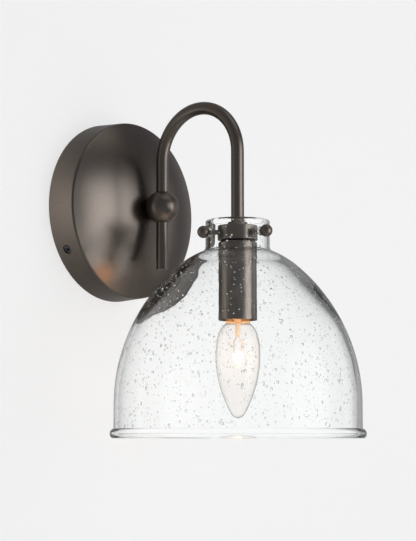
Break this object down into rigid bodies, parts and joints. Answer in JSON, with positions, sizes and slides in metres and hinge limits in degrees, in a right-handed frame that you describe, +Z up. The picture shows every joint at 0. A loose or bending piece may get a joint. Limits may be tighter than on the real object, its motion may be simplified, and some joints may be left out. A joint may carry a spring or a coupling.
{
  "type": "wall sconce",
  "caption": "Wall sconce with a round domed backplate, ball hub, gooseneck arm and an open bell of seeded glass held by ball-headed thumb screws round a candle bulb.",
  "frame": {"origin": "centre of the junction-box screw pattern, on the wall plane", "axes": "+Y into the wall, so the light stands out towards -Y; +Z up; +X to the right of someone who faces the wall"},
  "size_m": [0.1906, 0.2251, 0.2588],
  "materials": {
    "bronze": "satin dark bronze plating",
    "pressed_steel": "zinc-plated pressed steel",
    "green_screw": "green dyed zinc",
    "black_screw": "black oxide steel",
    "zinc": "zinc-plated steel",
    "brass": "plain brass",
    "nickel": "nickel-plated screw base",
    "copper": "bare tinned copper",
    "black_insulation": "black lead insulation",
    "white_insulation": "white lead insulation",
    "connector_shell": "moulded twist-on cap",
    "porcelain": "glazed lamp holder body",
    "black_vitrite": "black glass insulator",
    "clear_sleeve": "clear silicone bush",
    "seeded_glass": "clear blown glass with seed bubbles",
    "bulb_glass": "clear lamp glass",
    "stem_glass": "clear pressed stem glass",
    "support_wire": "nickel support wire",
    "filament": "lit tungsten coil"
  },
  "bodies": {
    "root": {"mounting_plate": "pressed_steel", "ground_screw": "green_screw", "canopy": "bronze", "side_screw_1": "black_screw", "side_screw_2": "black_screw", "side_screw_3": "black_screw", "hub_ball": "bronze", "hub_nipple": "zinc", "hub_washer": "zinc", "ground_lug": "copper", "hub_nut": "zinc", "arm_tube": "bronze", "tail_rod": "bronze", "tube_collar": "bronze", "shade_gallery": "bronze", "socket_cup": "bronze", "holder_yoke": "pressed_steel", "arm_nut": "zinc", "holder_screw": "zinc", "lamp_holder": "porcelain", "screw_shell": "brass", "contact_tab": "brass", "glass_shade": "seeded_glass", "live_lead": "black_insulation", "live_connector": "connector_shell", "neutral_lead": "white_insulation", "neutral_connector": "connector_shell", "ground_lead": "copper"},
    "bulb_feed": {"bulb_contact": "zinc"},
    "bulb": {"bulb_base": "nickel", "bulb_insulator": "black_vitrite", "bulb_glass": "bulb_glass", "bulb_stem": "stem_glass", "bulb_supports": "support_wire", "filament": "filament"},
    "knob_feed_1": {"knob_sleeve_1": "clear_sleeve"},
    "knob_1": {"knob_screw_1": "bronze"},
    "knob_feed_2": {"knob_sleeve_2": "clear_sleeve"},
    "knob_2": {"knob_screw_2": "bronze"},
    "knob_feed_3": {"knob_sleeve_3": "clear_sleeve"},
    "knob_3": {"knob_screw_3": "bronze"}
  },
  "joints": [
    {"name": "knob_1_out", "type": "slide", "parent": "root", "child": "knob_feed_1", "axis": [0, -1, 0], "range_m": [0, 0.0063]},
    {"name": "knob_1_turn", "type": "hinge", "parent": "knob_feed_1", "child": "knob_1", "pos_m": [0, -0.1298, -0.02695], "axis": [0, -1, 0], "range_deg": [0, 3240]},
    {"name": "knob_2_out", "type": "slide", "parent": "root", "child": "knob_feed_2", "axis": [0.866, 0.5, 0], "range_m": [0, 0.0063]},
    {"name": "knob_2_turn", "type": "hinge", "parent": "knob_feed_2", "child": "knob_2", "pos_m": [0, -0.1298, -0.02695], "axis": [0.866, 0.5, 0], "range_deg": [0, 3240]},
    {"name": "knob_3_out", "type": "slide", "parent": "root", "child": "knob_feed_3", "axis": [-0.866, 0.5, 0], "range_m": [0, 0.0063]},
    {"name": "knob_3_turn", "type": "hinge", "parent": "knob_feed_3", "child": "knob_3", "pos_m": [0, -0.1298, -0.02695], "axis": [-0.866, 0.5, 0], "range_deg": [0, 3240]},
    {"name": "bulb_out", "type": "slide", "parent": "root", "child": "bulb_feed", "axis": [0, 0, -1], "range_m": [0, 0.0127]},
    {"name": "bulb_turn", "type": "hinge", "parent": "bulb_feed", "child": "bulb", "pos_m": [0, -0.1298, 0], "axis": [0, 0, -1], "range_deg": [0, 1800]}
  ],
  "couplings": [
    {"joint": "knob_1_turn", "follows": "knob_1_out", "rad_per_m": 8976},
    {"joint": "knob_2_turn", "follows": "knob_2_out", "rad_per_m": 8976},
    {"joint": "knob_3_turn", "follows": "knob_3_out", "rad_per_m": 8976},
    {"joint": "bulb_turn", "follows": "bulb_out", "rad_per_m": 2473.7}
  ]
}
